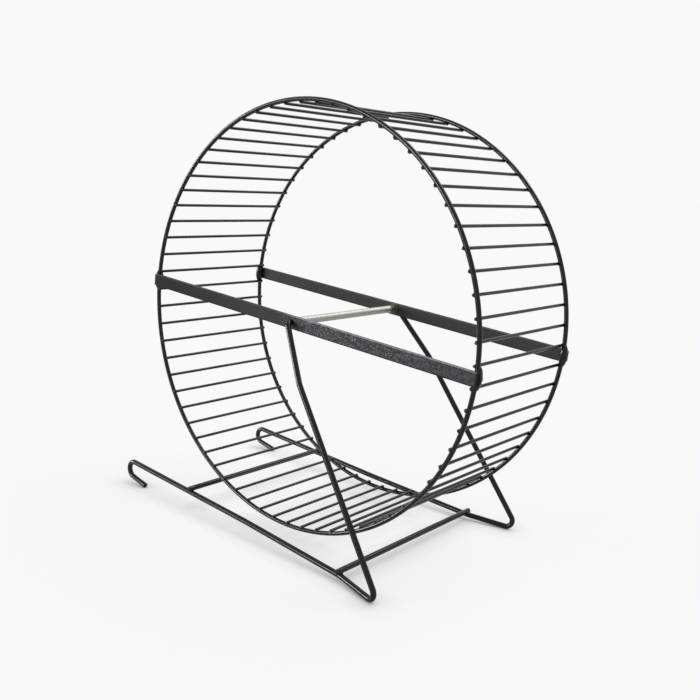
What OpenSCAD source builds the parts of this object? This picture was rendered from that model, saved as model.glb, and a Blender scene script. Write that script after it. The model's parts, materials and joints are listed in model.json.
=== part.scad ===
// Rodent exercise wheel: a drum of wire rungs that spins on a free-standing bent wire stand.
// Millimetres, +Z up, +X towards the feet, the axle along Y.
// The origin lies on the floor, straight below the middle of the axle.
// The stand rests on its two hook ends and its two foot bends, so the whole object leans a few
// degrees towards the feet. Each piece is drawn square about the axle and is leaned at the end.

/* [Wheel] */
// Diameter of the two rim rings, measured between wire centres
rim_d = 280; // [240:5:340]
// Distance between the two rim rings, measured between wire centres
wheel_w = 104.5; // [90:0.5:130]
// Diameter of the wire that the rim rings are bent from
rim_wire_d = 3; // [2.2:0.1:3.6]
// Diameter of the wire that the rungs are cut from
rung_wire_d = 2; // [1.4:0.1:2.2]
// Number of rungs round the drum, always even
rung_count = 66; // [54:2:70]
// How far a rung's end stands past the middle of the rim wire
rung_overhang = 0.9; // [0.5:0.1:3]
// How deep each rung is pressed into the rims by its welds
rung_press = 0.6; // [0.2:0.1:0.8]
// Depth of the rounded edge at a rung's cut ends
rung_end_round = 0.35; // [0.1:0.05:0.6]

/* [Cross bars] */
// Height of the flat bar across each rim ring
bar_h = 9; // [7:0.1:10.5]
// Thickness of the flat bar
bar_t = 1.75; // [1.2:0.05:2.5]
// How far the folded end reaches inwards, from the bar's outer face
tab_reach = 5.2; // [4.6:0.1:9]
// Inside radius of the fold at each end of the bar
fold_r = 1; // [0.4:0.05:1.1]
// Radius of the rounded corners at the folded end
tab_corner_r = 2.2; // [0.5:0.1:3]

/* [Axle] */
// Wall of the axle tube
tube_wall = 0.6; // [0.4:0.05:1]
// Radial running clearance of the stand wire in the tube and in the bars' holes
axle_clearance = 0.08; // [0.03:0.01:0.1]

/* [Stand] */
// Diameter of the stand wire
stand_wire_d = 3.8; // [3.2:0.1:5]
// Depth of the rounded edge where the stand's wires are cut to length
stand_end_round = 0.4; // [0.1:0.05:0.8]
// How far each side wire's end reaches into the tube, from the bar's outer face
stub_reach = 26; // [15:1:45]
// Gap between the bar's outer face and the first bend of the side wire
leg_gap = 0.3; // [0.3:0.1:3]
// How far the base wires lie below the bottom of the rim rings, between wire centres
base_drop = 1.4; // [0:0.1:12]
// Distance from the axle to the foot corner, along the base
foot_x = 116.6; // [105:0.1:140]
// How far the foot corner stands out from the leg's top
foot_spread = 23.2; // [18:0.1:32]
// Depth of the leg's outward bend below the axle
knee_drop = 32.6; // [26:0.1:45]
// How far the leg's outward bend stands out from its top
knee_spread = 12.1; // [9:0.1:15]
// How far the base wire stands out from the leg's top where it meets the front cross wire
flare_spread = 14.1; // [12:0.1:17]
// Distance from the axle to the middle bend of the base wire, towards the hooks
waist_x = 10; // [0:1:30]
// How far the middle bend of the base wire stands out from the leg's top
waist_spread = 10.6; // [8:0.1:12]
// How far the hook stands out from the leg's top
hook_spread = 9.9; // [8:0.1:16]

/* [Bends] */
// Radius of the bend where the leg turns into the axle, on the wire's centre line
axle_bend_r = 3.8; // [3.4:0.1:6]
// Radius of the leg's outward bend
knee_bend_r = 14; // [8:1:20]
// Radius of the foot bend, on the wire's centre line
foot_bend_r = 4.8; // [4:0.1:7]
// Radius of the two soft bends in the base wire
base_bend_r = 20; // [12:1:30]

/* [Hooks] */
// Distance from the axle to the outermost point of the hook's centre line
hook_x = 140.9; // [130:0.1:170]
// Radius of the hook's turn, on the wire's centre line
hook_bend_r = 6; // [5:0.1:9]
// Length of the hook's straight end
hook_end_l = 15.4; // [8:0.1:25]
// Angle between the hook's straight end and the base wire
hook_flare = 8; // [0:1:20]

/* [Cross wires] */
// Diameter of the two cross wires
cross_wire_d = 3.8; // [3:0.1:4.5]
// How deep each cross wire is pressed over the base wires by its welds
cross_press = 1.1; // [0.2:0.1:1.4]
// Distance from the axle to the cross wire near the feet
foot_cross_x = 78; // [65:0.5:90]
// Distance from the axle to the cross wire near the hooks
hook_cross_x = 68.6; // [55:0.1:100]
// How far each cross wire stands past the middle of the base wires
cross_overhang = 1.8; // [1:0.1:6]

/* [Hidden] */
// Gap that stands for the weld between two wires that touch
weld_gap = 0.05;
// How much a bend swells the wire's radius, and how far a straight stretch runs into a bend
bend_swell = 0.01;
bend_lap = 0.05;
// Facets for wires and for the large rings in the preview
$fn = 40;
ring_fn = 200;

rim_r = rim_d / 2;
rim_wire_r = rim_wire_d / 2;
rung_pitch = 360 / rung_count;
rung_r = rim_r - rim_wire_r - rung_wire_d / 2 + rung_press;
rung_l = wheel_w + 2 * rung_overhang;

// The bar lies flat against the outside of its rim ring and folds round it at both ends
bar_inner_y = wheel_w / 2 + rim_wire_r + weld_gap;
bar_outer_y = bar_inner_y + bar_t;
tab_inner_x = rim_r + rim_wire_r + weld_gap;
tab_flat_l = tab_reach - bar_t - fold_r;
tab_round = min(tab_corner_r, tab_flat_l, bar_h / 2);

tube_bore_d = stand_wire_d + 2 * axle_clearance;
tube_d = tube_bore_d + 2 * tube_wall;

// Corners of a side wire's centre line, from the end inside the tube to the hook, with the
// bend radius at each. The leg is straight from the axle to the foot when seen from the side.
base_z = -(rim_r + base_drop);
knee_x = foot_x * knee_drop / -base_z;
leg_dir = unit([knee_x, knee_spread, -knee_drop]);
axle_turn = acos(leg_dir.y);
leg_y = bar_outer_y + leg_gap + axle_bend_r * tan(axle_turn / 2);
stub_end = [0, bar_outer_y - stub_reach, 0];
leg_top = [0, leg_y, 0];
knee = [knee_x, leg_y + knee_spread, -knee_drop];
foot = [foot_x, leg_y + foot_spread, base_z];
flare = [foot_cross_x, leg_y + flare_spread, base_z];
waist = [-waist_x, leg_y + waist_spread, base_z];
hook_start = [hook_bend_r - hook_x, leg_y + hook_spread, base_z];

// The hook turns down from the base wire and comes back below it, a little flared
hook_turn = 180 - hook_flare;
base_dir = unit(hook_start - waist);
down = [0, 0, -1];
hook_end_dir = cos(hook_turn) * base_dir + sin(hook_turn) * down;
hook_arc_end = hook_start
    + hook_bend_r * (sin(hook_turn) * base_dir + (1 - cos(hook_turn)) * down);
hook_tip = hook_arc_end + hook_end_l * hook_end_dir;

// The cross wires lie on top of the base wires, pressed a little way over them
cross_z = base_z + (stand_wire_d + cross_wire_d) / 2 - cross_press;

// The foot bend and the hook's tip both touch the floor, which sets the lean and the height.
// The tip touches where its rounded edge starts. It lies at a slope, so its middle line is a
// little lower there than half the wire, by an amount that a first value of the lean gives.
foot_in_dir = unit(foot - knee);
foot_out_dir = unit(flare - foot);
foot_turn = acos(foot_in_dir * foot_out_dir);
foot_arc_x = foot.x + foot_out_dir.x * foot_bend_r * tan(foot_turn / 2);
tip_touch = hook_tip - stand_end_round * hook_end_dir;
foot_to_tip = [foot_arc_x - tip_touch.x, base_z + foot_bend_r - tip_touch.z];
foot_slope = atan2(foot_to_tip.y, foot_to_tip.x);
first_lean = foot_slope - asin(foot_bend_r / norm(foot_to_tip));
tip_half = stand_wire_d / 2 * cos(hook_flare + first_lean);
tip_rise = stand_wire_d / 2 - tip_half;
lean = foot_slope - asin((foot_bend_r + tip_rise) / norm(foot_to_tip));
axle_height = tip_touch.x * sin(lean) - tip_touch.z * cos(lean) + tip_half;

pair_names = [for (i = [1:rung_count / 2]) str("rung_pair_", i < 10 ? "0" : "", i)];

// Colours of the black coat and of the bare tube
coat = "#2a2a2c";
bright_steel = "#b9b8b2";

// A vector's direction, one unit long
function unit(v) = v / norm(v);

// Leans its children as the object stands on the floor, with the axle at its height
module standing() {
    translate([0, 0, axle_height]) rotate([0, lean, 0]) children();
}

// Mirrors its children to the other side of the wheel
module other_side() {
    mirror([0, 1, 0]) children();
}

// Puts its children at a place, with their X and Y axes along two square directions
module in_frame(place, x, y) {
    z = cross(x, y);
    multmatrix([
        [x.x, y.x, z.x, place.x],
        [x.y, y.y, z.y, place.y],
        [x.z, y.z, z.z, place.z],
        [0, 0, 0, 1]
    ])
        children();
}

// A straight stretch of wire between two points, with each end cut off with a rounded edge of
// its own depth, or with a depth of 0 where it laps into a bend
module straight_wire(d, start, end, start_round = 0, end_round = 0) {
    along = unit(end - start);
    from = start_round > 0 ? start_round : -bend_lap;
    to = norm(end - start) + (end_round > 0 ? -end_round : bend_lap);
    translate(start)
        rotate([0, acos(along.z), atan2(along.y, along.x)]) {
            translate([0, 0, from]) cylinder(d = d, h = to - from);
            if (start_round > 0)
                cylinder(r1 = d / 2 - start_round, r2 = d / 2, h = start_round);
            if (end_round > 0)
                translate([0, 0, to]) cylinder(r1 = d / 2, r2 = d / 2 - end_round, h = end_round);
        }
}

// An arc of wire that starts at a point in one direction and turns towards another
module bent_wire(d, start, dir, toward, r, turn) {
    inward = unit(toward - (toward * dir) * dir);
    in_frame(start + r * inward, -inward, dir)
        rotate_extrude(angle = turn)
            translate([r, 0])
                circle(r = d / 2 + bend_swell);
}

// Angle that a route turns at one of its corners, and how far its bend reaches from there
function turn_at(route, i) =
    acos(unit(route[i][0] - route[i - 1][0]) * unit(route[i + 1][0] - route[i][0]));
function bend_reach(route, i) =
    i == 0 || i == len(route) - 1 ? 0 : route[i][1] * tan(turn_at(route, i) / 2);

// One wire along a route of [corner, bend radius] pairs, straight between its bends
module routed_wire(d, route, start_round = 0) {
    last = len(route) - 2;
    for (i = [0:last]) {
        along = unit(route[i + 1][0] - route[i][0]);
        from = route[i][0] + bend_reach(route, i) * along;
        to = route[i + 1][0] - bend_reach(route, i + 1) * along;
        straight_wire(d, from, to, start_round = i == 0 ? start_round : 0);
        if (i < last) {
            next = unit(route[i + 2][0] - route[i + 1][0]);
            bent_wire(d, to, along, next, route[i + 1][1], turn_at(route, i + 1));
        }
    }
}

// The front rim's circle, in wire of a given diameter
module rim(d) {
    translate([0, -wheel_w / 2, 0])
        rotate([90, 0, 0])
            rotate_extrude($fn = ring_fn)
                translate([rim_r, 0])
                    circle(d = d);
}

// A rim ring at the front of the wheel
module ring() {
    color(coat) rim(rim_wire_d);
}

// One folded end of the front bar, at the +X side
module bar_end() {
    fold_centre = [tab_inner_x - fold_r, -bar_inner_y + fold_r, -bar_h / 2];
    translate(fold_centre)
        rotate([0, 0, -90])
            rotate_extrude(angle = 90)
                translate([fold_r, 0])
                    square([bar_t, bar_h]);
    translate([tab_inner_x, -bar_inner_y + fold_r, 0]) {
        translate([0, 0, -bar_h / 2]) cube([bar_t, tab_flat_l - tab_round, bar_h]);
        translate([0, tab_flat_l - tab_round, tab_round - bar_h / 2])
            cube([bar_t, tab_round, bar_h - 2 * tab_round]);
        for (side = [-1, 1])
            translate([0, tab_flat_l - tab_round, side * (bar_h / 2 - tab_round)])
                rotate([0, 90, 0])
                    cylinder(r = tab_round, h = bar_t);
    }
}

// A flat bar across the front ring, folded round it at both ends, drilled for the stand wire
module bar() {
    flat_l = 2 * (tab_inner_x - fold_r);
    color(coat)
        difference() {
            union() {
                translate([-flat_l / 2, -bar_outer_y, -bar_h / 2]) cube([flat_l, bar_t, bar_h]);
                bar_end();
                mirror([1, 0, 0]) bar_end();
            }
            translate([0, -bar_inner_y + 1, 0])
                rotate([90, 0, 0])
                    cylinder(d = tube_bore_d, h = bar_t + 2);
        }
}

// The axle tube, welded between the two bars, which turns on the ends of the two side wires
module tube() {
    tube_l = 2 * (bar_inner_y - weld_gap);
    color(bright_steel)
        translate([0, tube_l / 2, 0])
            rotate([90, 0, 0])
                difference() {
                    cylinder(d = tube_d, h = tube_l);
                    translate([0, 0, -1]) cylinder(d = tube_bore_d, h = tube_l + 2);
                }
}

// Two neighbouring rungs on the inside of the rim rings, clear of the bars by half a pitch and
// pressed a little way into the rims
module rung_pair(i) {
    color(coat)
        difference() {
            for (k = [2 * i, 2 * i + 1])
                rotate([0, -(k + 0.5) * rung_pitch, 0])
                    straight_wire(
                        rung_wire_d, [rung_r, -rung_l / 2, 0], [rung_r, rung_l / 2, 0],
                        rung_end_round, rung_end_round
                    );
            rim(rim_wire_d + 2 * weld_gap);
            other_side() rim(rim_wire_d + 2 * weld_gap);
        }
}

// One side of the stand: axle end, leg, foot, base and hook, bent from a single wire
module side_wire() {
    color(coat) {
        routed_wire(stand_wire_d, [
            [stub_end, 0],
            [leg_top, axle_bend_r],
            [knee, knee_bend_r],
            [foot, foot_bend_r],
            [flare, base_bend_r],
            [waist, base_bend_r],
            [hook_start, 0]
        ], stand_end_round);
        bent_wire(stand_wire_d, hook_start, base_dir, down, hook_bend_r, hook_turn);
        straight_wire(stand_wire_d, hook_arc_end, hook_tip, end_round = stand_end_round);
    }
}

// How far out the base wire lies from the middle of the wheel, at a distance along it
function base_y(x) =
    let (a = x > -waist_x ? flare : waist, b = x > -waist_x ? waist : hook_start)
        a.y + (b.y - a.y) * (x - a.x) / (b.x - a.x);

// The room that one base wire takes up in what is welded over it
module base_seat() {
    routed_wire(stand_wire_d + 2 * weld_gap, [
        [foot, 0],
        [flare, base_bend_r],
        [waist, base_bend_r],
        [hook_start, 0]
    ]);
}

// A straight wire welded across the two base wires, which are pressed a little way into it
module cross_wire(x) {
    reach = base_y(x) + cross_overhang;
    color(coat)
        difference() {
            straight_wire(
                cross_wire_d, [x, -reach, cross_z], [x, reach, cross_z],
                stand_end_round, stand_end_round
            );
            base_seat();
            other_side() base_seat();
        }
}

standing() ring();  // front_ring
standing() other_side() ring();  // rear_ring
standing() bar();  // front_bar
standing() other_side() bar();  // rear_bar
standing() tube();  // axle_tube
for (i = [0:len(pair_names) - 1])
    standing() rung_pair(i);
standing() other_side() side_wire();  // front_side_wire
standing() side_wire();  // rear_side_wire
standing() cross_wire(foot_cross_x);  // foot_cross_wire
standing() cross_wire(-hook_cross_x);  // hook_cross_wire
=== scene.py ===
"""Rodent exercise wheel: fine shapes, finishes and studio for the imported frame.

The classes follow the object as it is made: a drum of wire rungs resistance-welded inside two
rim rings, two folded flat bars that carry a bright axle tube, and a stand bent from two wires.
Lengths in the classes are millimetres in the wheel's own square frame, with the axle along Y
through the origin. Posture leans that frame and lifts it to where the object stands, and
Workshop turns its millimetres into Blender's metres.
"""

import json
import logging
import math
from dataclasses import dataclass, field
from enum import Enum

import bpy
import numpy as np
from mathutils import Matrix, Vector


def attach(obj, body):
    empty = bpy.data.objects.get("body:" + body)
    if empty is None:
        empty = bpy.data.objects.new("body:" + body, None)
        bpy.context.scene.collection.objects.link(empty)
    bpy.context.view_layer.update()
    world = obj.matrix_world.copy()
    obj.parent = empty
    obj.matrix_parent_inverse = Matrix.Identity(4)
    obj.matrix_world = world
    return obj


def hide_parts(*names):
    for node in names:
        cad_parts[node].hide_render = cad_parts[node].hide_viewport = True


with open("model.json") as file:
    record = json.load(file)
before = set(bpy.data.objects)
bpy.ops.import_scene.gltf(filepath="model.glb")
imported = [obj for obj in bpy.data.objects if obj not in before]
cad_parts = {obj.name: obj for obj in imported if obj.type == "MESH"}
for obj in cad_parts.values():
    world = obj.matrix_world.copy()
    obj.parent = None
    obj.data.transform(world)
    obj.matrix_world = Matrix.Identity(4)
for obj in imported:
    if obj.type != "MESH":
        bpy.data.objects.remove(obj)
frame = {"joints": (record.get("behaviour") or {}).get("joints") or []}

Array = np.ndarray
Rng = np.random.Generator
Object = bpy.types.Object
Material = bpy.types.Material
Tree = bpy.types.NodeTree
Socket = bpy.types.NodeSocket
Span = tuple[float, float]
Triple = tuple[float, float, float]
SocketValues = tuple[tuple[str, float], ...]

log = logging.getLogger("wheel")

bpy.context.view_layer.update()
MM = 0.001
SEED = 7
# The directions of the axes.
X, Y, Z = np.eye(3)
# A bend has at least this many steps, however slight it is.
FEWEST_BEND_STEPS = 3
# Even stations begin this many times as far from a free end as the last of the end's own.
END_CLEARANCE = 1.2


class Body(Enum):
    """The bodies of the frame that a piece can ride on."""

    STAND = "stand"
    WHEEL = "wheel"


class Finish(Enum):
    """The finishes: what each one is, and the record's material slot that it belongs to."""

    POWDER_COAT = ("powder coat", "black_coat")
    HAMMERED_COAT = ("hammered coat", "hammered_coat")
    DRAWN_STEEL = ("drawn steel", "bright_tube")
    WELD_SCALE = ("weld scale", "hammered_coat")

    @property
    def label(self) -> str:
        """What the finish is, for the log."""
        return self.value[0]

    @property
    def slot(self) -> str:
        """The record's material slot."""
        return self.value[1]


class Side(Enum):
    """The two sides of the wheel, each with its direction along the axle."""

    FRONT = -1
    REAR = 1

    @property
    def label(self) -> str:
        """The side's name as the nodes use it."""
        return self.name.lower()


def unit(vectors: Array) -> Array:
    """Scale each vector, along the last axis, to a length of one."""
    return vectors / np.linalg.norm(vectors, axis=-1, keepdims=True)


def full_circle(steps: int) -> Array:
    """Even angles round a full circle."""
    return np.linspace(0, 2 * math.pi, steps, endpoint=False)


def quarter_circle(steps: int) -> Array:
    """Even angles over a quarter circle, both ends included."""
    return np.linspace(0, math.pi / 2, steps + 1)


def round_axle(radius: float | Array, angle: float | Array, y: float | Array = 0.0) -> Array:
    """Points about the axle: (radius x cos angle, y, radius x sin angle)."""
    x, z = radius * np.cos(angle), radius * np.sin(angle)
    return np.stack(np.broadcast_arrays(x, y, z), axis=-1)


@dataclass(frozen=True)
class Posture:
    """How the wheel's own square frame stands on the floor."""

    lean_deg: float
    axle_height: float

    def turn(self) -> Array:
        """The rotation about +Y by the lean, as a 3 x 3 matrix."""
        c, s = math.cos(math.radians(self.lean_deg)), math.sin(math.radians(self.lean_deg))
        return np.array([[c, 0, s], [0, 1, 0], [-s, 0, c]])

    def place(self, points: Array) -> Array:
        """Carry points from the wheel's frame to the floor's frame, still in millimetres."""
        return points @ self.turn().T + self.axle_height * Z


@dataclass
class Surface:
    """A mesh in the making: points in millimetres and faces as index arrays."""

    points: Array
    quads: Array
    tris: Array = field(default_factory=lambda: np.empty((0, 3), int))

    def joined(self, other: "Surface") -> "Surface":
        """Both surfaces as one, with the other's indices moved past this one's points."""
        n = len(self.points)
        return Surface(
            np.concatenate([self.points, other.points]),
            np.concatenate([self.quads, other.quads + n]),
            np.concatenate([self.tris, other.tris + n]),
        )

    def mirrored(self) -> "Surface":
        """The surface on the other side of the wheel, with its faces still pointing outwards."""
        return Surface(
            self.points * np.array([1, -1, 1]), self.quads[:, ::-1], self.tris[:, ::-1]
        )

    def on_side(self, side: Side) -> "Surface":
        """This surface for one side, where it is drawn at the front."""
        return self if side is Side.FRONT else self.mirrored()


def skin(rings: Array, closed: bool = False) -> Surface:
    """Skin a stack of rings, and close its two ends with fans unless the stack itself closes.

    Args:
        rings: points as rings x sides x 3, turning left about the direction of the stack.
        closed: whether the last ring joins the first.

    Returns:
        The surface, with its faces pointing away from the stack's middle line.
    """
    count, sides = rings.shape[:2]
    i = np.arange(count if closed else count - 1)[:, None]
    j = np.arange(sides)[None, :]
    here, there = i * sides, (i + 1) % count * sides
    left = (j + 1) % sides
    quads = np.stack([here + j, here + left, there + left, there + j], axis=-1).reshape(-1, 4)
    points = rings.reshape(-1, 3)
    if closed:
        return Surface(points, quads)
    j, left = j[0], left[0]
    first, last = count * sides, count * sides + 1
    top = (count - 1) * sides
    start_fan = np.stack([np.full(sides, first), left, j], axis=-1)
    end_fan = np.stack([np.full(sides, last), top + j, top + left], axis=-1)
    middles = np.stack([rings[0].mean(axis=0), rings[-1].mean(axis=0)])
    return Surface(np.concatenate([points, middles]), quads, np.concatenate([start_fan, end_fan]))


@dataclass(frozen=True)
class Arc:
    """A bend in a wire's middle line, tangent to the straight stretches at its two ends."""

    start: Array
    along: Array
    inward: Array
    radius: float
    turn: float

    def points(self, angles: Array) -> Array:
        """Start + radius x (sin a along + (1 - cos a) inward)."""
        a = angles[:, None]
        return self.start + self.radius * (np.sin(a) * self.along + (1 - np.cos(a)) * self.inward)

    def tangents(self, angles: Array) -> Array:
        """Cos a along + sin a inward."""
        a = angles[:, None]
        return np.cos(a) * self.along + np.sin(a) * self.inward


@dataclass(frozen=True)
class Route:
    """A wire's or strip's middle line: straight between its arcs."""

    start: Array
    arcs: tuple[Arc, ...]
    end: Array

    @classmethod
    def through(cls, corners: list, radii: list) -> "Route":
        """A route that rounds each inner corner with a bend of its own radius.

        Args:
            corners: the points that the straight stretches aim at.
            radii: the bend radius at each corner but the first and the last.

        Returns:
            The route.
        """
        p = np.array(corners, float)
        way = unit(np.diff(p, axis=0))
        arcs = []
        for corner, before, after, radius in zip(p[1:-1], way[:-1], way[1:], radii):
            turn = math.acos(before @ after)
            inward = unit(after - (after @ before) * before)
            start = corner - radius * math.tan(turn / 2) * before
            arcs.append(Arc(start, before, inward, radius, turn))
        return cls(p[0], tuple(arcs), p[-1])

    @classmethod
    def across(cls, middle: Array, half: float) -> "Route":
        """A straight route along the axle's direction, half of it on each side of its middle."""
        return cls(middle - half * Y, (), middle + half * Y)

    def line(self, step: float, fine: float, ends: Array) -> tuple[Array, Array]:
        """Stations along the route.

        Args:
            step: distance between stations on the straight stretches.
            fine: angle between stations in the bends, in degrees.
            ends: distances from each end at which a station is wanted as well.

        Returns:
            The stations' points and their tangents.
        """
        points, tangents = [], []
        here, clear = self.start, ends[-1] * END_CLEARANCE
        for index, arc in enumerate([*self.arcs, None]):
            there = self.end if arc is None else arc.start
            length = np.linalg.norm(there - here)
            way = (there - here) / length
            marks = np.linspace(0, length, max(2, math.ceil(length / step)), endpoint=arc is None)
            if index == 0:
                marks = np.concatenate([ends, marks[marks > clear]])
            if arc is None:
                marks = np.concatenate([marks[marks < length - clear], (length - ends)[::-1]])
            points.append(here + marks[:, None] * way)
            tangents.append(np.broadcast_to(way, (len(marks), 3)))
            if arc is not None:
                count = max(FEWEST_BEND_STEPS, math.ceil(math.degrees(arc.turn) / fine))
                angles = np.linspace(0, arc.turn, count + 1)
                points.append(arc.points(angles[:-1]))
                tangents.append(arc.tangents(angles[:-1]))
                here = arc.points(angles[-1:])[0]
        return np.concatenate(points), np.concatenate(tangents)


@dataclass(frozen=True)
class RoundWire:
    """Round wire cut to length by a shear, which leaves flat ends with a slightly rounded edge."""

    diameter: float
    end_round: float
    sides: int = 20
    bend_step_deg: float = 6.0
    straight_step: float = 6.0
    round_steps: int = 4

    def end_profile(self) -> tuple[Array, Array]:
        """Radius against distance from a cut end.

        Formula: a quarter circle of the rounding's radius e takes the wire's radius r to
        r - e + e sin a, at a distance e (1 - cos a).

        Returns:
            The distances and the radii, from the end face inwards.
        """
        a = quarter_circle(self.round_steps)
        e = self.end_round
        return e * (1 - np.cos(a)), self.diameter / 2 - e + e * np.sin(a)

    def along(self, route: Route, reference: Array) -> Surface:
        """The wire bent along a route.

        Formula: a circle round each station, square to the tangent there.

        Args:
            route: the wire's middle line.
            reference: a direction that the wire never runs in.

        Returns:
            The wire's closed surface.
        """
        distances, radii = self.end_profile()
        points, tangents = route.line(self.straight_step, self.bend_step_deg, distances)
        radius = np.full(len(points), self.diameter / 2)
        radius[: len(radii)] = radii
        radius[-len(radii):] = radii[::-1]
        return skin(self.circles(points, tangents, radius, reference))

    def loop(self, points: Array, tangents: Array, reference: Array) -> Surface:
        """The wire bent into a closed loop, such as a rim ring."""
        return skin(self.circles(points, tangents, self.diameter / 2, reference), closed=True)

    def circles(
        self, points: Array, tangents: Array, radius: float | Array, reference: Array
    ) -> Array:
        """One circle of points round each station, turning left about its tangent.

        Args:
            points: the stations, n x 3.
            tangents: the wire's direction at each.
            radius: the circle's radius, of all or at each.
            reference: a direction that the wire never runs in.

        Returns:
            The circles, n x sides x 3.
        """
        side = unit(np.cross(reference, tangents))
        up = np.cross(tangents, side)
        a = full_circle(self.sides)[None, :, None]
        ring = np.cos(a) * side[:, None] + np.sin(a) * up[:, None]
        return points[:, None] + np.reshape(radius, (-1, 1, 1)) * ring


@dataclass(frozen=True)
class WeldNugget:
    """The metal squeezed out where two wires are resistance-welded, thickly coated over."""

    along_first: float
    along_second: float
    thickness: float
    rings: int = 5
    sides: int = 10
    size_spread: float = 0.12

    def at(self, places: Array, axes: Array, rng: Rng) -> Surface:
        """Nuggets at several crossings, as one surface.

        Formula: an ellipsoid whose three half-axes lie along the first wire, along the second
        and square to both, each nugget a little larger or smaller than the next.

        Args:
            places: the crossings' points, n x 3.
            axes: the three directions at each crossing, n x 3 x 3, one to a row.
            rng: source of the differences in size.

        Returns:
            The nuggets' closed surfaces.
        """
        polar = np.linspace(0, math.pi, self.rings + 2)[1:-1]
        p, a = polar[:, None], full_circle(self.sides)[None, :]
        ball = np.stack([np.sin(p) * np.cos(a), np.sin(p) * np.sin(a), -np.cos(p) + 0 * a], -1)
        one = skin(ball)
        one.points[-2:] = -Z, Z
        half = np.array([self.along_first, self.along_second, self.thickness])
        sizes = half * (1 + self.size_spread * rng.uniform(-1, 1, (len(places), 3)))
        points = places[:, None] + np.einsum("nk,pk,nkx->npx", sizes, one.points, axes)
        shift = (np.arange(len(places)) * len(one.points))[:, None, None]
        return Surface(
            points.reshape(-1, 3),
            (one.quads + shift).reshape(-1, 4),
            (one.tris + shift).reshape(-1, 3),
        )


def hex_colour(code: str) -> tuple[float, float, float, float]:
    """Turn an sRGB colour into Blender's linear one.

    Formula: the sRGB standard's curve, a straight line near black and a power above it.

    Args:
        code: the colour's hex code, such as #8a8a88.

    Returns:
        Linear red, green and blue, and an alpha of 1.
    """
    srgb = np.array([int(code[i:i + 2], 16) for i in (1, 3, 5)]) / 255
    linear = np.where(srgb <= 0.04045, srgb / 12.92, ((srgb + 0.055) / 1.055) ** 2.4)
    return (*map(float, linear), 1.0)


def add_node(
    tree: Tree, kind: str, settings: dict | None = None, links: dict | None = None
) -> bpy.types.NodeOutputs:
    """Add a shader node.

    Args:
        tree: the node tree.
        kind: the node's type name after ShaderNode, such as Mix.
        settings: attribute names, or input names or numbers, with their values.
        links: input names or numbers, with the output socket that feeds each.

    Returns:
        The new node's outputs.
    """
    node = tree.nodes.new(f"ShaderNode{kind}")
    for key, value in (settings or {}).items():
        if isinstance(key, str) and hasattr(node, key):
            setattr(node, key, value)
        else:
            node.inputs[key].default_value = value
    for key, socket in (links or {}).items():
        tree.links.new(socket, node.inputs[key])
    return node.outputs


def new_material(name: str) -> tuple[Material, Tree]:
    """Make an empty node material.

    Args:
        name: the material's name.

    Returns:
        The material and its tree.
    """
    material = bpy.data.materials.new(name)
    material.use_nodes = True
    material.node_tree.nodes.clear()
    return material, material.node_tree


def add_object(name: str, data: bpy.types.ID) -> Object:
    """Add an object to the scene.

    Args:
        name: the object's name.
        data: its mesh, lamp or camera.

    Returns:
        The object, at the origin.
    """
    thing = bpy.data.objects.new(name, data)
    bpy.context.scene.collection.objects.link(thing)
    return thing


def metres(span_mm: Span) -> Span:
    """A span of millimetres in Blender's metres."""
    return span_mm[0] * MM, span_mm[1] * MM


def per_metre(size_mm: float) -> float:
    """The texture scale that makes one repeat of a pattern as long as a size in millimetres."""
    return 1 / (size_mm * MM)


@dataclass(frozen=True)
class Noise:
    """A noise pattern of a real size, drawn out along the axle where it has a length."""

    size_mm: float
    detail: float
    length_mm: float | None = None

    def scale(self) -> Triple:
        """The texture scale along X, Y and Z."""
        across = per_metre(self.size_mm)
        return across, per_metre(self.length_mm or self.size_mm), across


@dataclass
class Patterns:
    """The sockets that a finish's patterns feed.

    The tone mixes dark into pale, the gloss spreads the roughness and the height is the relief.
    A layer is a share of the surface, from 0 to 1, and the colour that covers the tone there.
    """

    tone: Socket
    gloss: Socket
    height: Socket
    layers: tuple[tuple[Socket, str], ...] = ()


@dataclass(frozen=True)
class MetalFinish:
    """What the finishes share: patterns that tint one shader, vary its gloss and give relief.

    The first noise tints and varies the gloss, and the last is the relief.
    """

    name: str
    dark: str
    pale: str
    even: SocketValues
    relief_mm: float
    relief_strength: float = 1.0
    rough: Span | None = None
    noises: tuple[Noise, ...] = ()

    def patterns(self, tree: Tree, place: Socket) -> Patterns:
        """Draw the finish's patterns.

        Args:
            tree: the material's node tree.
            place: the Object coordinates.

        Returns:
            The patterns.
        """
        drawn = []
        for noise in self.noises:
            scaled = add_node(tree, "Mapping", {"Scale": noise.scale()}, {"Vector": place})[0]
            settings = {"Scale": 1.0, "Detail": noise.detail}
            drawn.append(add_node(tree, "TexNoise", settings, {"Vector": scaled})["Fac"])
        return Patterns(tone=drawn[0], gloss=drawn[0], height=drawn[-1])

    def build(self) -> Material:
        """Make the material.

        Returns:
            The material, with what is even all over set on the shader's own sockets.
        """
        material, tree = new_material(self.name)
        place = add_node(tree, "TexCoord")["Object"]
        drawn = self.patterns(tree, place)
        colour = add_node(
            tree, "Mix",
            {"data_type": "RGBA", 6: hex_colour(self.dark), 7: hex_colour(self.pale)},
            {0: drawn.tone},
        )[2]
        for share, tint in drawn.layers:
            colour = add_node(
                tree, "Mix", {"data_type": "RGBA", 7: hex_colour(tint)}, {0: share, 6: colour}
            )[2]
        bump = add_node(
            tree, "Bump", {"Distance": self.relief_mm * MM, "Strength": self.relief_strength},
            {"Height": drawn.height},
        )["Normal"]
        links = {"Base Color": colour, "Normal": bump}
        if self.rough:
            spread = {"To Min": self.rough[0], "To Max": self.rough[1]}
            links["Roughness"] = add_node(tree, "MapRange", spread, {"Value": drawn.gloss})[0]
        shader = add_node(tree, "BsdfPrincipled", dict(self.even), links)[0]
        add_node(tree, "OutputMaterial", links={"Surface": shader})
        return material


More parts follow.
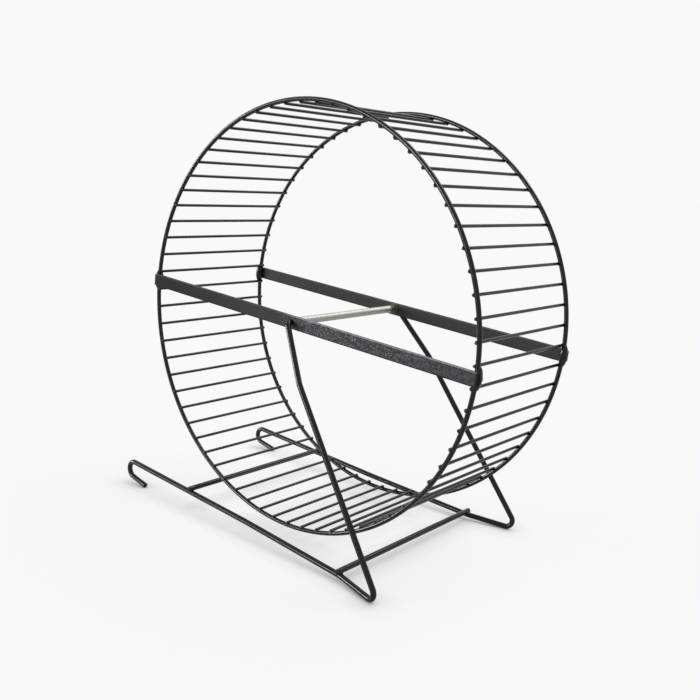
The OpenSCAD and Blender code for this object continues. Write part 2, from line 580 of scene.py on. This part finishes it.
@dataclass(frozen=True)
class PowderCoat(MetalFinish):
    """Black polyester powder coat on steel wire, sprayed dry and baked.

    The powder flows as it bakes but never quite flat, so the film is satin, in patches a little
    thicker and paler, with a fine orange peel.
    """

    name: str = "black_powder_coat"
    dark: str = "#040405"
    pale: str = "#0c0c0d"
    even: SocketValues = (("IOR", 1.5), ("Specular IOR Level", 0.26))
    relief_mm: float = 0.09
    rough: Span = (0.16, 0.3)
    noises: tuple[Noise, ...] = (Noise(size_mm=9.0, detail=3.0), Noise(size_mm=2.2, detail=1.0))


@dataclass(frozen=True)
class HammeredCoat(MetalFinish):
    """Black hammered coat on flat steel bar, baked until the film draws into cells.

    Only the outer face took enough film to draw into shallow cells, and the film is thick from
    the axle to the feet's end. Pale grains on the cells stand partly for the metal flake on their
    rims, drawn a little coarser than real ones so that they show, and partly for painted glints,
    so they are densest near the axle and grow fewer towards the feet's end. A pale band along the
    upper edge is a painted highlight. The face is darker, nearly black, towards the hooks' end.
    The inner face is plain and satin. The folds and the lower edge are painted black as painted
    shade. Spans run along X from the axle, across the bar from its middle, or out from the
    wheel's middle.
    """

    name: str = "hammered_coat"
    plain: str = "#2e2e2e"
    # Darker towards the hooks' end, and darkest nearest it.
    hooks_end_tone: str = "#292929"
    thinnest: str = "#040404"
    # Painted shade: black at the folds and along the lower edge.
    painted_shade_black: str = "#030303"
    dark: str = "#1d1d1f"
    pale: str = "#38383b"
    # Pale spots, partly metal flake and partly painted glints.
    grain: str = "#606064"
    # Painted highlight along the upper edge.
    edge: str = "#8c8c90"
    even: SocketValues = (("IOR", 1.5), ("Specular IOR Level", 0.12))
    rough: Span = (0.25, 0.36)
    relief_mm: float = 0.07
    outer_face_mm: Span = (54.6, 55.0)
    thinnest_film_mm: Span = (-132.0, -30.0)
    thick_film_mm: Span = (-14.0, 8.0)
    upper_edge_mm: Span = (3.6, 3.95)
    lower_edge_mm: Span = (-3.7, -4.1)
    # The flake spots, partly painted glints, grow fewer over this span.
    flakes_thin_out_mm: Span = (55.0, 125.0)
    fewest_flakes: float = 0.3
    fold_mm: Span = (141.2, 142.6)
    cell_mm: float = 2.2
    grain_mm: float = 1.0
    grain_detail: float = 2.0
    grain_share: Span = (0.57, 0.65)
    posture: Posture = field(kw_only=True)

    def patterns(self, tree: Tree, place: Socket) -> Patterns:
        """Draw the cells, the grains, and where on the bar each look begins and ends.

        Args:
            tree: the material's node tree.
            place: the Object coordinates.

        Returns:
            The patterns, in the wheel's own frame, in which the bars are straight.
        """
        own = add_node(
            tree, "Mapping",
            {
                "vector_type": "TEXTURE", "Location": (0.0, 0.0, self.posture.axle_height * MM),
                "Rotation": (0.0, math.radians(self.posture.lean_deg), 0.0),
            },
            {"Vector": place},
        )[0]
        axes = add_node(tree, "SeparateXYZ", links={0: own})
        made = {"x": axes["X"], "z": axes["Z"]}
        for name, axis in (("out_x", "X"), ("out_y", "Y")):
            made[name] = add_node(tree, "Math", {"operation": "ABSOLUTE"}, {0: axes[axis]})[0]
        scale = {"Scale": per_metre(self.cell_mm)}
        made["cells"] = add_node(tree, "TexVoronoi", scale, {"Vector": own})["Distance"]
        scale = {"Scale": per_metre(self.grain_mm), "Detail": self.grain_detail}
        made["grains"] = add_node(tree, "TexNoise", scale, {"Vector": own})["Fac"]
        # Each row is a ramp: over a span of its second column, it goes from its least value to
        # its most, which is 1 or what an earlier row made.
        for name, along, span, least, most in (
            ("raised", "x", metres(self.thick_film_mm), 0.0, "cells"),
            ("height", "out_y", metres(self.outer_face_mm), 0.0, "raised"),
            # Pale spots, partly metal flake and partly painted glints, densest near the axle.
            ("flakes_and_glints", "x", metres(self.flakes_thin_out_mm[::-1]), self.fewest_flakes, None),
            ("flake_and_glint_spots", "grains", self.grain_share, 0.0, "flakes_and_glints"),
            # Painted highlight: a pale band along the upper edge, broken by the grains.
            ("painted_highlight_band", "z", metres(self.upper_edge_mm), 0.0, "grains"),
            # Darker towards the hooks' end, and darkest nearest it.
            ("bare", "x", metres(self.thick_film_mm[::-1]), 0.0, None),
            ("barest", "x", metres(self.thinnest_film_mm[::-1]), 0.0, None),
            ("inner", "out_y", metres(self.outer_face_mm[::-1]), 0.0, None),
            # Painted shade: black at the folds and along the lower edge.
            ("folded", "out_x", metres(self.fold_mm), 0.0, None),
            ("painted_shade_low_edge", "z", metres(self.lower_edge_mm), 0.0, None),
        ):
            made[name] = add_node(
                tree, "MapRange", {"From Min": span[0], "From Max": span[1], "To Min": least},
                {"Value": made[along]} | ({"To Max": made[most]} if most else {}),
            )["Result"]
        # Over the tone lie painted glints, a painted highlight and painted shade, besides real
        # tones.
        layers = (
            ("flake_and_glint_spots", self.grain), ("painted_highlight_band", self.edge), ("bare", self.hooks_end_tone),
            ("barest", self.thinnest), ("inner", self.plain), ("folded", self.painted_shade_black),
            ("painted_shade_low_edge", self.painted_shade_black),
        )
        return Patterns(
            tone=made["cells"], gloss=made["height"], height=made["height"],
            layers=tuple((made[name], colour) for name, colour in layers),
        )


@dataclass(frozen=True)
class WeldScale(MetalFinish):
    """Oxide scale on steel that was heated by welding: dull olive brown, rough and patchy."""

    name: str = "weld_scale"
    dark: str = "#26261f"
    pale: str = "#4b4a3e"
    even: SocketValues = (("Roughness", 0.6),)
    relief_mm: float = 0.08
    noises: tuple[Noise, ...] = (Noise(size_mm=1.5, detail=4.0),)


@dataclass(frozen=True)
class DrawnSteel(MetalFinish):
    """Bare steel tube, drawn through a die, which leaves fine bright lines along its length.

    The lines are drawn coarser than real ones so that they show.
    """

    name: str = "drawn_steel"
    dark: str = "#888885"
    pale: str = "#b2b2af"
    even: SocketValues = (("Metallic", 1.0),)
    relief_mm: float = 0.006
    relief_strength: float = 0.6
    rough: Span = (0.4, 0.56)
    noises: tuple[Noise, ...] = (Noise(size_mm=0.25, detail=3.0, length_mm=30.0),)


@dataclass
class Workshop:
    """Turns surfaces into pieces on the frame, with their finish, body and replaced node."""

    posture: Posture
    finishes: dict[Finish, Material]
    sharp_deg: float = 35.0
    cutter_sides: int = 48
    cutter_edge: float = 0.01

    def shape(self, name: str, surface: Surface) -> Object:
        """Make a surface an object.

        Args:
            name: the object's name.
            surface: its surface in the wheel's frame, in millimetres.

        Returns:
            The object, at the origin, with its place in its mesh.
        """
        mesh = bpy.data.meshes.new(name)
        points = self.posture.place(surface.points) * MM
        faces = [*surface.quads.tolist(), *surface.tris.tolist()]
        mesh.from_pydata(points.tolist(), [], faces)
        return add_object(name, mesh)

    def smooth(self, mesh: bpy.types.Mesh) -> None:
        """Shade a mesh smooth, except over its sharp edges."""
        mesh.shade_smooth()
        mesh.set_sharp_from_angle(angle=math.radians(self.sharp_deg))

    def new_piece(
        self, name: str, surface: Surface, finish: Finish, body: Body, node: str | None = None
    ) -> Object:
        """Make one piece of the object.

        Args:
            name: the piece's name.
            surface: its surface in the wheel's frame, in millimetres.
            finish: what its surface is finished with.
            body: the body that it rides on.
            node: the frame's node that it replaces, if any.

        Returns:
            The new piece.
        """
        piece = self.shape(name, surface)
        self.smooth(piece.data)
        piece.data.materials.append(self.finishes[finish])
        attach(piece, body.value)
        if node:
            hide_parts(node)
        count = len(piece.data.polygons)
        log.info("%s: %d faces, %s, rides on %s", name, count, finish.label, body.value)
        return piece

    def drill(self, piece: Object, radius: float, reach: float) -> None:
        """Cut a round hole along the axle through a piece.

        Args:
            piece: the piece, whose mesh is changed.
            radius: the hole's radius.
            reach: how far the cutter reaches along the axle, to each side.
        """
        rod = RoundWire(2 * radius, self.cutter_edge, self.cutter_sides, straight_step=reach)
        cutter = self.shape("cutter", rod.along(Route.across(np.zeros(3), reach), X))
        cut = piece.modifiers.new("hole", "BOOLEAN")
        cut.operation = "DIFFERENCE"
        cut.solver = "EXACT"
        cut.object = cutter
        graph = bpy.context.evaluated_depsgraph_get()
        drilled = bpy.data.meshes.new_from_object(piece.evaluated_get(graph))
        piece.modifiers.remove(cut)
        piece.data = drilled
        self.smooth(drilled)
        bpy.data.meshes.remove(cutter.data)


@dataclass(frozen=True)
class FoldedBar:
    """Flat steel bar across a rim ring, folded round the ring at both ends and drilled."""

    height: float = 9.0
    thickness: float = 1.75
    tab_reach: float = 5.2
    fold_radius: float = 1.0
    tab_taper: float = 7.0
    tab_end_height: float = 1.4
    edge_round: float = 0.35
    edge_steps: int = 3
    step: float = 0.55
    bend_step_deg: float = 9.0
    near_end: tuple[float, ...] = (0.7, 1.2, 1.8)
    hammer_cell: float = 1.6
    hammer_depth: float = 0.09
    film_mm: Span = HammeredCoat.thick_film_mm

    def route(self, inner_y: float, tab_inner_x: float) -> Route:
        """The strip's middle line, at the front.

        Args:
            inner_y: distance from the wheel's middle to the bar's inner face.
            tab_inner_x: distance from the axle to a tab's inner face.

        Returns:
            The route, from one tab's free end to the other's.
        """
        x = tab_inner_x + self.thickness / 2
        y = -(inner_y + self.thickness / 2)
        free_y = -(inner_y + self.thickness) + self.tab_reach
        bend = self.fold_radius + self.thickness / 2
        return Route.through(
            [(-x, free_y, 0), (-x, y, 0), (x, y, 0), (x, free_y, 0)], [bend, bend]
        )

    def outline(self) -> tuple[Array, Array]:
        """The strip's cross-section before it is sheared.

        Formula: a rectangle with quarter circles of the edge's radius at its four corners,
        walked round from the lower right, with even steps on the flats.

        Returns:
            The points across the height and through the thickness.
        """
        e = self.edge_round
        h, t = self.height / 2 - e, self.thickness / 2 - e
        flat = np.linspace(-1, 1, max(2, round(2 * h / self.step)) + 1)[1:-1]
        across, through = [], []
        for start, sign_h, sign_t in ((0, 1, 1), (1, -1, 1), (2, -1, -1), (3, 1, -1)):
            a = quarter_circle(self.edge_steps) + start * math.pi / 2
            across.append(sign_h * h + e * np.cos(a))
            through.append(sign_t * t + e * np.sin(a))
            if start in (0, 2):
                across.append(-sign_h * h * flat)
                through.append(np.full(len(flat), sign_t * (t + e)))
        return np.concatenate(across), np.concatenate(through)

    def surface(self, route: Route, rng: Rng) -> Surface:
        """The folded strip with tapered tabs and a hammered face.

        Formula: the cross-section carried along the middle line. Towards a free end its height
        falls as a quarter of a sine wave to the end's height, and its thickness follows the
        edge's quarter circle.

        Args:
            route: the strip's middle line.
            rng: source of the pit centres.

        Returns:
            The bar at the front of the wheel.
        """
        c, e = self.tab_taper, self.edge_round
        near = np.unique([*(e * (1 - np.cos(quarter_circle(self.edge_steps)))), *self.near_end])
        points, tangents = route.line(self.step, self.bend_step_deg, near)
        run = np.concatenate([[0], np.cumsum(np.linalg.norm(np.diff(points, axis=0), axis=1))])
        left = np.minimum(run, run[-1] - run)
        to_full, in_edge = np.clip(left / c, 0, 1), np.clip(e - left, 0, e)
        end = self.tab_end_height / self.height
        high = end + (1 - end) * np.sin(to_full * math.pi / 2)
        thick = 1 - (e - np.sqrt(e * e - in_edge**2)) / (self.thickness / 2)
        across, through = self.outline()
        outward = np.cross(tangents, Z)
        z = high[:, None] * across[None, :]
        n = thick[:, None] * through[None, :]
        film = np.interp(points[:, 0], self.film_mm, (0.0, 1.0))
        face = (np.abs(across) < self.height / 2 - e) & (through > 0)
        n[:, face] += self.relief(run, z[:, face], film, rng)
        return skin(points[:, None] + z[..., None] * Z + n[..., None] * outward[:, None])

    def relief(self, run: Array, z: Array, film: Array, rng: Rng) -> Array:
        """The hammered relief of the outer face.

        Formula: where the film is thick, the face sinks by a depth that is full at the nearest
        of many random pit centres and fades to nothing one cell away from it.

        Args:
            run: each station's distance along the strip.
            z: the heights of the face's points, stations x points.
            film: how thick the film is at each station, from 0 to 1.
            rng: source of the pit centres.

        Returns:
            How far each point moves outwards, stations x points.
        """
        count = int(run[-1] * self.height / self.hammer_cell**2)
        pits = rng.random((count, 2)) * [run[-1], self.height] - [0, self.height / 2]
        gap = (run[:, None, None] - pits[:, 0]) ** 2 + (z[..., None] - pits[:, 1]) ** 2
        reach = np.clip(np.sqrt(gap.min(axis=-1)) / self.hammer_cell, 0, 1)
        return -self.hammer_depth * film[:, None] * (1 - reach)


@dataclass(frozen=True)
class Drum:
    """The wheel that turns: two rim rings, the rungs inside them, two bars and the tube."""

    rim_diameter: float = 280.0
    width: float = 104.5
    rim_wire: RoundWire = RoundWire(3.0, 0.2, sides=24)
    rung_wire: RoundWire = RoundWire(2.0, 0.35, sides=16, straight_step=9.0)
    rung_count: int = 66
    rung_overhang: float = 0.9
    rung_press: float = 0.6
    weld_gap: float = 0.05
    bar: FoldedBar = FoldedBar()
    tube_wall: float = 0.6
    tube_bore: float = 3.96
    tube_chamfer: float = 0.15
    tube_sides: int = 64
    drill_overrun: float = 5.0
    rim_stations: int = 264
    rung_weld: WeldNugget = WeldNugget(1.35, 1.3, 1.0)
    rung_weld_out: float = 0.35
    bar_weld: WeldNugget = WeldNugget(7.6, 2.7, 3.2, rings=13, sides=20, size_spread=0.02)
    bar_weld_out: float = 0.6
    bar_weld_in: float = 0.3
    collar_radius: float = 3.9
    collar_length: float = 5.0
    collar_sink: float = 0.2
    collar_steps: int = 8

    @property
    def bar_inner_y(self) -> float:
        """Distance from the wheel's middle to a bar's inner face."""
        return self.width / 2 + self.rim_wire.diameter / 2 + self.weld_gap

    @property
    def bar_outer_y(self) -> float:
        """Distance from the wheel's middle to a bar's outer face."""
        return self.bar_inner_y + self.bar.thickness

    @property
    def tab_inner_x(self) -> float:
        """Distance from the axle to the inner face of a bar's tab."""
        return self.rim_diameter / 2 + self.rim_wire.diameter / 2 + self.weld_gap

    @property
    def rung_radius(self) -> float:
        """Distance from the axle to a rung's middle line."""
        wires = (self.rim_wire.diameter + self.rung_wire.diameter) / 2
        return self.rim_diameter / 2 - wires + self.rung_press

    def ring(self) -> Surface:
        """The front rim ring.

        Formula: a circle about the axle, whose tangent lies a quarter turn ahead.

        Returns:
            The ring.
        """
        a = full_circle(self.rim_stations)
        points = round_axle(self.rim_diameter / 2, a, -self.width / 2)
        return self.rim_wire.loop(points, round_axle(1.0, a + math.pi / 2), Y)

    def rung_angles(self) -> Array:
        """The rungs' angles about the axle, half a pitch clear of the bars, upwards from +X."""
        return (np.arange(self.rung_count) + 0.5) * 2 * math.pi / self.rung_count

    def rung(self, angle: float) -> Surface:
        """One rung at an angle about the axle."""
        half = self.width / 2 + self.rung_overhang
        return self.rung_wire.along(Route.across(round_axle(self.rung_radius, angle), half), X + Z)

    def rung_welds(self, rng: Rng) -> Surface:
        """The nuggets where the rungs cross the front ring, a little towards their ends.

        Args:
            rng: source of the differences in size.

        Returns:
            The nuggets.
        """
        a = self.rung_angles()
        radius = self.rung_radius + self.rung_wire.diameter / 2 - self.rung_press
        places = round_axle(radius, a, -(self.width / 2 + self.rung_weld_out))
        outward = round_axle(1.0, a)
        axle = np.broadcast_to(Y, outward.shape)
        around = np.cross(axle, outward)
        return self.rung_weld.at(places, np.stack([around, axle, outward], 1), rng)

    def bar_welds(self, rng: Rng) -> Surface:
        """The spindles of metal that run along the front ring through each end of its bar.

        Args:
            rng: source of the differences in size.

        Returns:
            The spindles.
        """
        x = self.rim_diameter / 2 + self.bar_weld_out
        y = self.bar_weld_in - self.width / 2
        axes = np.broadcast_to([Z, X, Y], (2, 3, 3))
        return self.bar_weld.at(np.array([(x, y, 0), (-x, y, 0)]), axes, rng)

    def tube(self) -> Surface:
        """The axle tube.

        Formula: its wall's cross-section, a rectangle with chamfered corners, carried round
        the axle.

        Returns:
            The tube.
        """
        bore, c = self.tube_bore / 2, self.tube_chamfer
        outer, end = bore + self.tube_wall, self.bar_inner_y - self.weld_gap
        half = np.array([(outer, end - c), (outer - c, end), (bore + c, end), (bore, end - c)])
        return self.turned(np.concatenate([half, half[::-1] * [1, -1]]))

    def turned(self, section: Array) -> Surface:
        """A closed cross-section, as radius and place along the axle, carried round the axle."""
        a = full_circle(self.tube_sides)[:, None]
        return skin(round_axle(section[:, 0], a, section[:, 1]), closed=True)

    def tube_weld(self) -> Surface:
        """The weld round the tube at the front bar.

        Formula: its cross-section is a fillet, a hollow quarter of an ellipse from the bar's
        face to the tube's skin, closed by a straight line just inside the tube's wall.

        Returns:
            The weld.
        """
        skin_radius = self.tube_bore / 2 + self.tube_wall
        a = quarter_circle(self.collar_steps)
        radius = self.collar_radius - (self.collar_radius - skin_radius) * np.sin(a)
        place = self.collar_length * (1 - np.cos(a)) - self.bar_inner_y
        sunk = skin_radius - self.collar_sink
        fillet = np.stack([[*radius, sunk, sunk], [*place, place[-1], place[0]]], -1)
        return self.turned(fillet[::-1])

    def build(self, shop: Workshop) -> None:
        """Make the drum's pieces, in place of its nodes.

        Args:
            shop: what makes pieces of surfaces.
        """
        rng = np.random.default_rng(SEED)
        strip = self.bar.route(self.bar_inner_y, self.tab_inner_x)
        for side in Side:
            for what, surface, finish, node in (
                ("rim_ring", self.ring(), Finish.POWDER_COAT, "ring"),
                ("folded_bar", self.bar.surface(strip, rng), Finish.HAMMERED_COAT, "bar"),
                ("tube_weld", self.tube_weld(), Finish.WELD_SCALE, None),
                ("rung_welds", self.rung_welds(rng), Finish.POWDER_COAT, None),
                ("bar_welds", self.bar_welds(rng), Finish.POWDER_COAT, None),
            ):
                piece = shop.new_piece(
                    f"{side.label}_{what}", surface.on_side(side), finish, Body.WHEEL,
                    node and f"{side.label}_{node}",
                )
                if what == "folded_bar":
                    shop.drill(piece, self.tube_bore / 2, self.bar_outer_y + self.drill_overrun)
        shop.new_piece(
            "bright_axle_tube", self.tube(), Finish.DRAWN_STEEL, Body.WHEEL, "axle_tube"
        )
        for pair, (first, second) in enumerate(self.rung_angles().reshape(-1, 2), start=1):
            shop.new_piece(
                f"rungs_{pair:02d}", self.rung(first).joined(self.rung(second)),
                Finish.POWDER_COAT, Body.WHEEL, f"rung_pair_{pair:02d}",
            )


@dataclass(frozen=True)
class Stand:
    """The wheel's stand: two bent side wires and two cross wires welded over them."""

    drum: Drum
    wire: RoundWire = RoundWire(3.8, 0.4, sides=28, bend_step_deg=5.0)
    cross_wire: RoundWire = RoundWire(3.8, 0.4, sides=24)
    cross_press: float = 1.1
    stub_reach: float = 26.0
    leg_gap: float = 0.3
    base_drop: float = 1.4
    foot_x: float = 116.6
    foot_spread: float = 23.2
    knee_drop: float = 32.6
    knee_spread: float = 12.1
    flare_spread: float = 14.1
    waist_x: float = 10.0
    waist_spread: float = 10.6
    hook_spread: float = 9.9
    axle_bend_radius: float = 3.8
    knee_bend_radius: float = 14.0
    foot_bend_radius: float = 4.8
    base_bend_radius: float = 20.0
    hook_x: float = 140.9
    hook_bend_radius: float = 6.0
    hook_end_length: float = 15.4
    hook_flare_deg: float = 8.0
    foot_cross_x: float = 78.0
    hook_cross_x: float = 68.6
    cross_overhang: float = 1.8
    cross_weld: WeldNugget = WeldNugget(2.5, 2.4, 1.0, rings=7, sides=16)

    @property
    def base_z(self) -> float:
        """Height of the base wires' middle line, below the axle."""
        return -(self.drum.rim_diameter / 2 + self.base_drop)

    def corners(self) -> dict[str, Array]:
        """The corners of the rear side wire's middle line, by name.

        The leg is straight from the axle to the foot when seen from the side, so its outward
        bend lies on the line between them.

        Returns:
            The corners, in their order along the wire.
        """
        outer_y, base_z = self.drum.bar_outer_y, self.base_z
        knee_x = self.foot_x * self.knee_drop / -base_z
        leg = unit(np.array([knee_x, self.knee_spread, -self.knee_drop]))
        reach = self.axle_bend_radius * math.tan(math.acos(leg[1]) / 2)
        y = outer_y + self.leg_gap + reach
        places = {
            "stub": (0, outer_y - self.stub_reach, 0),
            "leg_top": (0, y, 0),
            "knee": (knee_x, y + self.knee_spread, -self.knee_drop),
            "foot": (self.foot_x, y + self.foot_spread, base_z),
            "flare": (self.foot_cross_x, y + self.flare_spread, base_z),
            "waist": (-self.waist_x, y + self.waist_spread, base_z),
            "hook": (self.hook_bend_radius - self.hook_x, y + self.hook_spread, base_z),
        }
        return {name: np.array(place, float) for name, place in places.items()}

    def side_route(self) -> Route:
        """The rear side wire's middle line: axle end, leg, foot, base and hook.

        Returns:
            The route, with bends at the axle, knee, foot, flare and waist, and the hook's.
        """
        at = self.corners()
        bends = [
            self.axle_bend_radius, self.knee_bend_radius, self.foot_bend_radius,
            self.base_bend_radius, self.base_bend_radius,
        ]
        base = Route.through(list(at.values()), bends)
        along = unit(at["hook"] - at["waist"])
        turn = math.radians(180 - self.hook_flare_deg)
        hook = Arc(at["hook"], along, -Z, self.hook_bend_radius, turn)
        angle = np.array([turn])
        tip = hook.points(angle)[0] + self.hook_end_length * hook.tangents(angle)[0]
        return Route(base.start, (*base.arcs, hook), tip)

    def base_y(self, x: float) -> float:
        """How far out the base wire lies at an x."""
        stops = np.array([self.corners()[name] for name in ("hook", "waist", "flare")])
        return float(np.interp(x, stops[:, 0], stops[:, 1]))

    def cross_route(self, x: float) -> Route:
        """A cross wire's middle line, on top of the base wires and pressed a little over them."""
        z = self.base_z + (self.wire.diameter + self.cross_wire.diameter) / 2 - self.cross_press
        return Route.across(x * X + z * Z, self.base_y(x) + self.cross_overhang)

    def cross_welds(self, rng: Rng) -> Surface:
        """The nuggets where the cross wires lie on the base wires.

        Args:
            rng: source of the differences in size.

        Returns:
            The nuggets.
        """
        z = self.base_z + (self.wire.diameter - self.cross_press) / 2
        places = np.array([
            (x, side.value * self.base_y(x), z)
            for x in (self.foot_cross_x, -self.hook_cross_x) for side in Side
        ])
        return self.cross_weld.at(places, np.broadcast_to(np.eye(3), (len(places), 3, 3)), rng)

    def build(self, shop: Workshop) -> None:
        """Make the stand's pieces, in place of its nodes.

        Args:
            shop: what makes pieces of surfaces.
        """
        rear = self.wire.along(self.side_route(), X + Y + Z)
        pieces = [
            (side.label, "bent", "side_wire", rear if side is Side.REAR else rear.mirrored())
            for side in Side
        ]
        for label, x in (("foot", self.foot_cross_x), ("hook", -self.hook_cross_x)):
            surface = self.cross_wire.along(self.cross_route(x), X)
            pieces.append((label, "welded", "cross_wire", surface))
        for label, how, wire, surface in pieces:
            shop.new_piece(
                f"{label}_{how}_{wire}", surface, Finish.POWDER_COAT, Body.STAND, f"{label}_{wire}"
            )
        welds = self.cross_welds(np.random.default_rng(SEED + 1))
        shop.new_piece("cross_wire_welds", welds, Finish.POWDER_COAT, Body.STAND)


@dataclass(frozen=True)
class Lamp:
    """A lamp so far away that it lights floor and object evenly, as wide as its angle."""

    name: str
    strength: float
    angle_deg: float
    towards: Triple

    def build(self) -> None:
        """Hang the lamp in its direction from the object."""
        lamp = bpy.data.lights.new(self.name, "SUN")
        lamp.energy = self.strength
        lamp.angle = math.radians(self.angle_deg)
        light = add_object(self.name, lamp)
        light.rotation_euler = Vector(self.towards).to_track_quat("Z", "Y").to_euler()


@dataclass(frozen=True)
class Studio:
    """Pale floor, a plain sky, three soft lamps and the photograph's viewpoint."""

    paper: str = "#f9f9f9"
    backlit_share: float = 0.8
    painted_shade_reach: float = 18.0
    floor_half_size: float = 20000.0
    floor_drop: float = 0.05
    sky_strength: float = 0.32
    lamps: tuple[Lamp, ...] = (
        Lamp("broad_key", 1.9, 40.0, (0.2, 0.6, 1.0)),
        Lamp("left_strip", 2.5, 18.0, (-0.86, -0.5, 0.08)),
        Lamp("front_strip", 2.2, 18.0, (-0.5, -0.85, 0.14)),
    )
    azimuth_deg: float = 39.2613
    elevation_deg: float = 11.9738
    roll_deg: float = 4.0463
    distance: float = 606.06
    aim: Triple = (6.6, -1.14, 125.85)
    lens_mm: float = 44.8
    sensor_mm: float = 36.0
    near_m: float = 0.01
    far_m: float = 100.0

    def seen(self, tree: Tree) -> Socket:
        """Where a camera, glossy or transmission ray looks at a surface.

        Args:
            tree: the surface's node tree.

        Returns:
            A socket that is one for these rays and zero for the others.
        """
        rays = add_node(tree, "LightPath")
        seen = rays["Is Camera Ray"]
        for ray in ("Is Glossy Ray", "Is Transmission Ray"):
            seen = add_node(tree, "Math", {"operation": "MAXIMUM"}, {0: seen, 1: rays[ray]})[0]
        return seen

    def floor(self) -> None:
        """A large flat floor just below the object, of paper that is lit a little from below.

        The backlight is only for the eye and lights nothing. It makes the far shadows paler, as
        a bright studio does, and carries painted shade: ambient occlusion darkens it only where a
        wire lies close above the paper.
        """
        s, z = self.floor_half_size * MM, -self.floor_drop * MM
        mesh = bpy.data.meshes.new("studio_floor")
        mesh.from_pydata([(-s, -s, z), (s, -s, z), (s, s, z), (-s, s, z)], [], [(0, 1, 2, 3)])
        material, tree = new_material("studio_paper")
        colour = {"Color": hex_colour(self.paper)}
        paper = add_node(tree, "BsdfDiffuse", colour)[0]
        reach = {"Distance": self.painted_shade_reach * MM}
        # Painted shade: ambient occlusion dims the backlight near the wires.
        painted_contact_shade = add_node(tree, "AmbientOcclusion", reach)["AO"]
        backlight = add_node(tree, "Emission", colour, {"Strength": painted_contact_shade})[0]
        share = add_node(
            tree, "Math", {"operation": "MULTIPLY", 1: self.backlit_share}, {0: self.seen(tree)}
        )[0]
        mixed = add_node(tree, "MixShader", links={0: share, 1: paper, 2: backlight})[0]
        add_node(tree, "OutputMaterial", links={"Surface": mixed})
        mesh.materials.append(material)
        add_object("studio_floor", mesh)

    def sky(self) -> None:
        """A plain sky, which camera, glossy and transmission rays see as the backdrop."""
        world = bpy.data.worlds.new("studio")
        world.use_nodes = True
        bpy.context.scene.world = world
        tree = world.node_tree
        tree.nodes.clear()
        looks = (("#ffffff", self.sky_strength), (self.paper, 1.0))
        light, paper = (
            add_node(tree, "Background", {"Color": hex_colour(code), "Strength": strength})[0]
            for code, strength in looks
        )
        mixed = add_node(tree, "MixShader", links={0: self.seen(tree), 1: light, 2: paper})[0]
        add_node(tree, "OutputWorld", links={"Surface": mixed})

    def camera(self) -> None:
        """The camera at the photograph's angle, distance and lens."""
        a, e, r = map(math.radians, (self.azimuth_deg, self.elevation_deg, self.roll_deg))
        back = np.array([math.sin(a) * math.cos(e), -math.cos(a) * math.cos(e), math.sin(e)])
        level = np.array([math.cos(a), math.sin(a), 0])
        upright = np.cross(back, level)
        right = math.cos(r) * level + math.sin(r) * upright
        up = math.cos(r) * upright - math.sin(r) * level
        place = (np.array(self.aim) + self.distance * back) * MM
        data = bpy.data.cameras.new("camera")
        data.lens = self.lens_mm
        data.sensor_width = self.sensor_mm
        data.clip_start, data.clip_end = self.near_m, self.far_m
        camera = add_object("camera", data)
        turn = np.stack([right, up, back], axis=1)
        camera.matrix_world = Matrix.Translation(place) @ Matrix(turn.tolist()).to_4x4()
        bpy.context.scene.camera = camera

    def build(self) -> None:
        """Set up the floor, the light and the camera."""
        bpy.context.scene.view_settings.view_transform = "Standard"
        self.floor()
        self.sky()
        for lamp in self.lamps:
            lamp.build()
        self.camera()


def stand_posture(stand: Stand) -> Posture:
    """Work out the lean at which the feet and the hooks' tips both touch the floor.

    A tip touches where its rounded edge starts. It lies at a slope, so its middle line is a
    little lower there than half the wire, by an amount that a first value of the lean gives.

    Args:
        stand: the stand.

    Returns:
        The posture, with the axle's height from the frame's own joint.
    """
    route = stand.side_route()
    _, _, foot, *_, hook = route.arcs
    back = unit(foot.tangents(np.array([foot.turn]))[0])
    reach = foot.radius * math.tan(foot.turn / 2)
    arc_x = stand.corners()["foot"][0] + back[0] * reach
    tip_way = hook.tangents(np.array([hook.turn]))[0]
    touch = route.end - stand.wire.end_round * tip_way
    gap = np.array([arc_x - touch[0], stand.base_z + foot.radius - touch[2]])
    slope, far = math.atan2(gap[1], gap[0]), float(np.linalg.norm(gap))
    first = slope - math.asin(foot.radius / far)
    half = stand.wire.diameter / 2
    rise = half * (1 - math.cos(math.radians(stand.hook_flare_deg) + first))
    lean = slope - math.asin((foot.radius + rise) / far)
    height = frame["joints"][0]["pos_m"][2] / MM
    return Posture(math.degrees(lean), height)


def main() -> None:
    """Build the object's pieces and the studio."""
    logging.basicConfig(level=logging.INFO, format="%(name)s: %(message)s")
    drum = Drum()
    stand = Stand(drum)
    posture = stand_posture(stand)
    log.info("leans %.4f degrees, axle at %.3f mm", posture.lean_deg, posture.axle_height)
    finishes = {
        Finish.POWDER_COAT: PowderCoat().build(),
        Finish.HAMMERED_COAT: HammeredCoat(posture=posture).build(),
        Finish.DRAWN_STEEL: DrawnSteel().build(),
        Finish.WELD_SCALE: WeldScale().build(),
    }
    shop = Workshop(posture, finishes)
    Studio().build()
    drum.build(shop)
    stand.build(shop)


if __name__ == "__main__":
    main()
